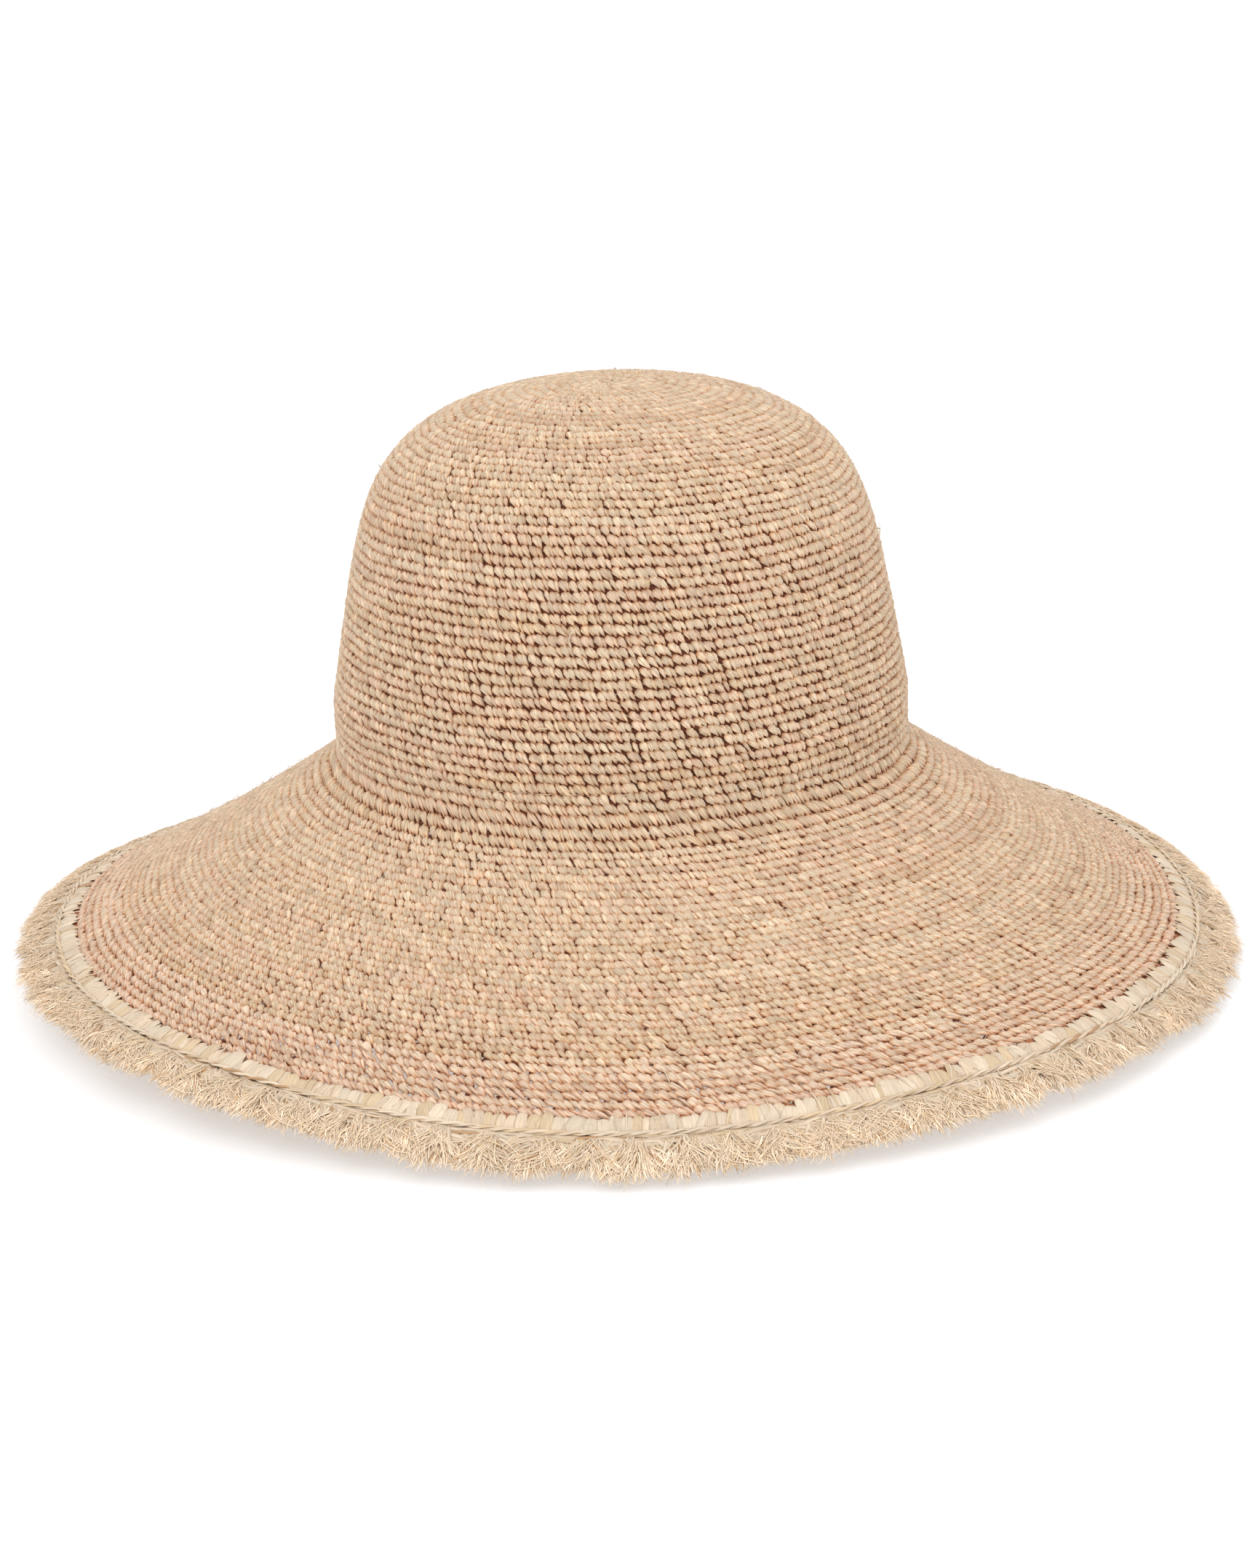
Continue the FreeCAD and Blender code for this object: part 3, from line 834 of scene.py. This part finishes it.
def fringe(name, material, centres, leans):
    """Frayed ends of the braid: fine strands in tufts, with long stray ones over the braid."""
    bundle = Bundle()
    tuft_length = rng.uniform(0.86, 1.14, len(centres))
    tuft_lean = leans * 12 + rng.normal(0, 13, len(centres))
    tuft_tone = rng.uniform(0.92, 1.06, (len(centres), 1)) * rng.choice(
        [1.0, 0.94], (len(centres), 1)) * np.array([[1.0, 1.01, 1.03]])
    for each, start_down, reach, widths, aim, evenness, cells in FRINGE_LAYERS:
        angle = np.repeat(centres, each)
        lean = np.repeat(tuft_lean, each)
        count = len(angle)
        down = rng.uniform(*start_down, count) * np.repeat(tuft_length, each)
        beside = rng.normal(0, 1, count)
        heading = np.radians((lean + beside * 17) * (1 - evenness) + rng.normal(0, aim, count))
        run = rng.uniform(*reach, count)
        even = rng.uniform(-6.5, 6.5, count)
        begin = pairs(beside * (0.6 + 0.16 * down) * (1 - evenness) + even * evenness, down)
        finish = begin + pairs(np.sin(heading), np.cos(heading)) * run[:, None]
        base = rng.uniform(-0.8, 0.8, count) - 0.5 * evenness
        # painted shade: strands that lie lower in the tuft are darker, as if shaded by those above them;
        # the rest of the spread is random tone
        depth_shade = (1.02 + 0.16 * base)[:, None] * rng.uniform(0.86, 1.12, (count, 1))
        drop = run * rng.uniform(-0.1, 0.12, count)
        path = sweep(HAIR_STEPS, begin, finish, rng.normal(0, 0.12, count),
                     (base - 0.2, base + 0.2, base - drop))
        girth = loop_girth(HAIR_STEPS, rng.uniform(*widths, count), 0.45)
        # painted light and painted shade on the fringe's strands, beside their own tint
        tone = pale_tones(count) * np.repeat(tuft_tone, each, 0) * depth_shade * FRINGE_PAINTED_LIGHT
        bundle.add(path, girth, girth * 0.35, 4, below_cord(angle), tone, grid_cells(count, *cells))
    angle = np.repeat(centres, LONG_STRANDS)
    lean = np.repeat(leans, LONG_STRANDS)
    count = len(angle)
    begin = pairs(-lean * rng.uniform(0, 8, count), rng.uniform(1.0, 6.5, count))
    finish = pairs(lean * rng.uniform(-3, 8, count), rng.uniform(7.5, 14, count))
    crest = rng.uniform(0.9, 1.5, count)
    path = sweep(STRAND_STEPS, begin, finish, lean * rng.uniform(-0.05, 0.3, count),
                 (crest - 1.0, crest, crest - rng.uniform(0.8, 2.2, count)))
    girth = loop_girth(STRAND_STEPS, rng.uniform(0.08, 0.2, count), 0.3)
    # painted light: the long strands are paled against the shade among them
    bundle.add(path, girth, girth * 0.4, 4, below_cord(angle),
               pale_tones(count, 0.3) * LONG_PAINTED_LIGHT, grid_cells(count, 0.75, 1))
    bundle.piece(name, material, ["edge_fringe"], "frayed_raffia")


def whiskers(material):
    """Fine fibres that have worked loose on the brim, and a few cut strand ends all over the hat."""
    count = LOOSE_FIBRES
    whole = length_at_radius(outer_radius("brim_edging"))
    length = rng.uniform(0.5, 1, count) ** 0.5 * whole
    angle = rng.uniform(0, 2 * math.pi, count)
    heading = rng.uniform(0, 2 * math.pi, count)
    run = rng.uniform(1.2, 6, count)
    begin = np.zeros((count, 2))
    finish = pairs(np.cos(heading), np.sin(heading)) * run[:, None]
    path = sweep(HAIR_STEPS, begin, finish, rng.normal(0, 0.25, count),
                 (-0.5, rng.uniform(0.15, 0.8, count), rng.uniform(0.2, 1.6, count)))
    girth = loop_girth(HAIR_STEPS, rng.uniform(0.035, 0.09, count), 0.4)
    bundle = Bundle()
    bundle.add(path, girth, girth, 3, on_hat(length, angle), pale_tones(count),
               grid_cells(count, 0, 0.9))
    ends = CUT_ENDS
    heading = rng.uniform(0, 2 * math.pi, ends)
    finish = pairs(np.cos(heading), np.sin(heading)) * rng.uniform(2.5, 7, (ends, 1))
    path = sweep(STRAND_STEPS, np.zeros((ends, 2)), finish, rng.normal(0, 0.1, ends),
                 (-0.6, 0.7, rng.uniform(0.3, 1.4, ends)))
    girth = loop_girth(STRAND_STEPS, rng.uniform(0.15, 0.38, ends), 0.2)
    length = rng.uniform(0.1, 1, ends) * whole
    angle = rng.uniform(0, 2 * math.pi, ends)
    bundle.add(path, girth, 0 * girth + 0.12, 6, on_hat(length, angle),
               pale_tones(ends), grid_cells(ends, 0.9, 1), None, 0.2)
    bundle.piece("loose_fibres", material, [], "raffia")


# ---------------------------------------------------------------- sweatband

BAND_START = math.radians(86)      # the ribbon's ends overlap at the back
BAND_OVERLAP = 12.0
BAND_THICKNESS = 0.45
BAND_INSET = 0.8                   # the ribbon's face at the opening lies this far inside its rim
THREAD_HEIGHT = 2.2                # of the ribbon's own stitches above the crown line
DASHES = 72
OUTER_THREAD_HEIGHT = 10.2         # of the slack thread that the photograph shows outside
THREAD = linear(218, 194, 162)


def band_radius(height):
    """Inner radius of the ribbon, which opens at its lower edge and leans in with the wall."""
    _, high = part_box("sweatband")
    lower = high.x / MM - BAND_INSET
    flare = 0.25 * np.maximum(0, 3.5 - height)
    return lower + flare - LEAN * np.maximum(0, height - LEAN_START + FABRIC * LEAN / 2)


def sweatband(material):
    """A ribbon sewn round the inside of the head opening, its two ends lapped over each other."""
    low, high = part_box("sweatband")
    heights = np.linspace(low.z / MM - CROWN_LINE, high.z / MM - CROWN_LINE, 22)
    radius = float(band_radius(np.array(10.0)))
    sweep_angle = 2 * math.pi + BAND_OVERLAP / radius
    columns = 900
    around = np.linspace(0, sweep_angle, columns)
    lap = np.clip((around - 2 * math.pi + 6 / radius) / (6 / radius), 0, 1)
    inward = 0.6 * lap ** 2 * (3 - 2 * lap)
    ripple = 0.06 * np.sin(37 * around) + 0.05 * np.sin(61 * around + 1)
    layers = []
    for thickness in (0.0, BAND_THICKNESS):
        r = band_radius(heights)[None] + (thickness - inward + ripple)[:, None]
        angle = (BAND_START + around)[:, None]
        z = CROWN_LINE + heights[None] + 0 * r
        layers.append(np.stack([r * np.cos(angle), r * np.sin(angle), z], -1))
    points = np.stack(layers)
    index = np.arange(points[..., 0].size).reshape(points.shape[:3])
    inner, outer = index
    quads = [
        np.stack([inner[:-1, :-1], inner[:-1, 1:], inner[1:, 1:], inner[1:, :-1]], -1),
        np.stack([outer[:-1, :-1], outer[1:, :-1], outer[1:, 1:], outer[:-1, 1:]], -1),
        np.stack([inner[:-1, 0], inner[1:, 0], outer[1:, 0], outer[:-1, 0]], -1),
        np.stack([inner[:-1, -1], outer[:-1, -1], outer[1:, -1], inner[1:, -1]], -1),
        np.stack([inner[0, :-1], outer[0, :-1], outer[0, 1:], inner[0, 1:]], -1),
        np.stack([inner[-1, :-1], inner[-1, 1:], outer[-1, 1:], outer[-1, :-1]], -1),
    ]
    quads = np.concatenate([q.reshape(-1, 4) for q in quads])
    obj = make_mesh("sweatband_ribbon", points.reshape(-1, 3), quads, np.empty((0, 3), int), material)
    along = np.broadcast_to((around * radius)[None, :, None], index.shape).ravel()
    across = np.broadcast_to(heights[None, None], index.shape).ravel()
    face = np.repeat([0, 0.5], len(along) // 2)
    add_uv(obj.data, "OFBake", np.stack([along / along.max(), across / 60 + face], 1))
    add_uv(obj.data, "Weave", np.stack([along, across], 1))
    settle(obj, ["sweatband"])
    return obj, (float(np.ptp(heights)) * MM, sweep_angle * radius * MM)


def threads(material):
    """The ribbon's running stitches along its lower edge, and a slack thread line outside."""
    bundle = Bundle()
    angle = 2 * math.pi * np.arange(DASHES) / DASHES
    flat = np.ones(DASHES)
    radius = float(band_radius(np.array(THREAD_HEIGHT)))

    def inside(local):
        r = radius - local[..., 2]
        turn = angle[:, None] + local[..., 0] / radius
        height = CROWN_LINE + THREAD_HEIGHT + local[..., 1]
        return np.stack([r * np.cos(turn), r * np.sin(turn), height], -1)

    begin = pairs(-2.5 * flat, 0 * flat)
    finish = pairs(2.5 * flat, rng.normal(0, 0.15, DASHES))
    path = sweep(STRAND_STEPS, begin, finish, 0 * flat, (-0.15, 0.1, -0.15))
    girth = loop_girth(STRAND_STEPS, 0.24 * flat, 0.0)
    tint = np.tile(THREAD, (DASHES, 1))
    bundle.add(path, girth, 0.7 * girth, 8, inside, tint, grid_cells(DASHES, 0, 0.5), None, 0.2)
    length = np.interp(-OUTER_THREAD_HEIGHT, -HEIGHT, LENGTH) * flat
    begin = pairs(-3.4 * flat, rng.normal(0, 0.3, DASHES))
    finish = pairs(3.4 * flat, rng.normal(0, 0.3, DASHES))
    path = sweep(STRAND_STEPS, begin, finish, rng.normal(0, 0.03, DASHES), (-1.1, 0.0, -1.1))
    girth = loop_girth(STRAND_STEPS, 0.13 * flat, 0.0)
    bundle.add(path, girth, 0.8 * girth, 8, on_hat(length, angle), tint,
               grid_cells(DASHES, 0.5, 1), None, 0.2)
    return bundle.piece("band_threads", material, ["band_stitches"], "thread")


# ---------------------------------------------------------------- stage, light and camera

FLOOR_HALF = 30.0         # metres, so that the floor's end stays out of sight
FLOOR_GLOW = 0.42         # keeps the floor pale under the hat


def studio_material(name, colour, glow):
    """A dull plain surface that glows a little."""
    material = bpy.data.materials.new(name)
    material.use_nodes = True
    shader = material.node_tree.nodes["Principled BSDF"]
    shader.inputs["Base Color"].default_value = (*colour, 1)
    shader.inputs["Roughness"].default_value = 0.9
    shader.inputs["Emission Color"].default_value = (1, 1, 1, 1)
    shader.inputs["Emission Strength"].default_value = glow
    return material


def floor():
    half = FLOOR_HALF
    mesh = bpy.data.meshes.new("floor")
    corners = [(-half, -half, 0), (half, -half, 0), (half, half, 0), (-half, half, 0)]
    mesh.from_pydata(corners, [], [(0, 1, 2, 3)])
    mesh.materials.append(studio_material("floor", (0.65, 0.65, 0.66), FLOOR_GLOW))
    obj = bpy.data.objects.new("floor", mesh)
    obj.location.z = -0.0002
    bpy.context.scene.collection.objects.link(obj)


def softbox(name, position, size, power, target):
    data = bpy.data.lights.new(name, "AREA")
    data.shape = "DISK"
    data.size = size
    data.energy = power
    obj = bpy.data.objects.new(name, data)
    obj.location = position
    obj.rotation_euler = (Vector(target) - Vector(position)).to_track_quat("-Z", "Y").to_euler()
    bpy.context.scene.collection.objects.link(obj)


def sky():
    """A soft white dome that is brighter overhead than at its rim."""
    world = bpy.data.worlds.new("sky")
    world.use_nodes = True
    nodes = world.node_tree.nodes
    links = world.node_tree.links
    direction = nodes.new("ShaderNodeTexCoord")
    split = nodes.new("ShaderNodeSeparateXYZ")
    links.new(direction.outputs["Generated"], split.inputs["Vector"])
    glow = nodes.new("ShaderNodeMapRange")
    glow.inputs["To Min"].default_value = 0.44
    glow.inputs["To Max"].default_value = 1.32
    links.new(split.outputs["Z"], glow.inputs["Value"])
    links.new(glow.outputs["Result"], nodes["Background"].inputs["Strength"])
    nodes["Background"].inputs["Color"].default_value = (1, 1, 1, 1)
    return world


def studio():
    middle = (0, 0, 0.09)
    softbox("key", (-0.5, -1.5, 1.6), 1.2, 9, middle)
    softbox("fill", (0.9, -1.6, 0.9), 1.4, 4, middle)
    bpy.context.scene.world = sky()
    bpy.context.scene.view_settings.view_transform = "Standard"


def camera():
    """The photograph's viewpoint: a metre off, a little above the crown, with a long lens."""
    data = bpy.data.cameras.new("camera")
    data.sensor_width = 36
    data.lens = 75.26
    obj = bpy.data.objects.new("camera", data)
    obj.location = (0, -1.0278, CROWN_LINE * MM + 0.3081)
    aim = Euler((math.radians(90 - 17.46), 0, math.radians(-0.07))).to_quaternion()
    obj.rotation_mode = "QUATERNION"
    obj.rotation_quaternion = aim @ Quaternion((0, 0, 1), math.radians(-1.7))
    bpy.context.scene.collection.objects.link(obj)
    bpy.context.scene.camera = obj


camera()
studio()
floor()
raffia = raffia_material("raffia")
crochet(raffia, raffia_material("pink_raffia"))
pale_raffia = raffia_material("pale_raffia", roughness=0.5, fibre_depth=0.3, patchiness=0.12)
edging(pale_raffia)
edge_cord(pale_raffia)
frayed_raffia = raffia_material("frayed_raffia", roughness=0.55, fibre_depth=0.05, patchiness=0.1)
lobes = np.stack(lobe_centres(), 1)
for number, share in shares_of(lobes, 3):
    braid(f"braid_strands_{number}", pale_raffia, *share.T)
for number, share in shares_of(lobes, 5):
    fringe(f"fringe_fibres_{number}", frayed_raffia, *share.T)
whiskers(raffia)
band, band_size = sweatband(ribbon_material())
thread = threads(raffia_material("thread", roughness=0.7, fibre_depth=0.1, patchiness=0.1))
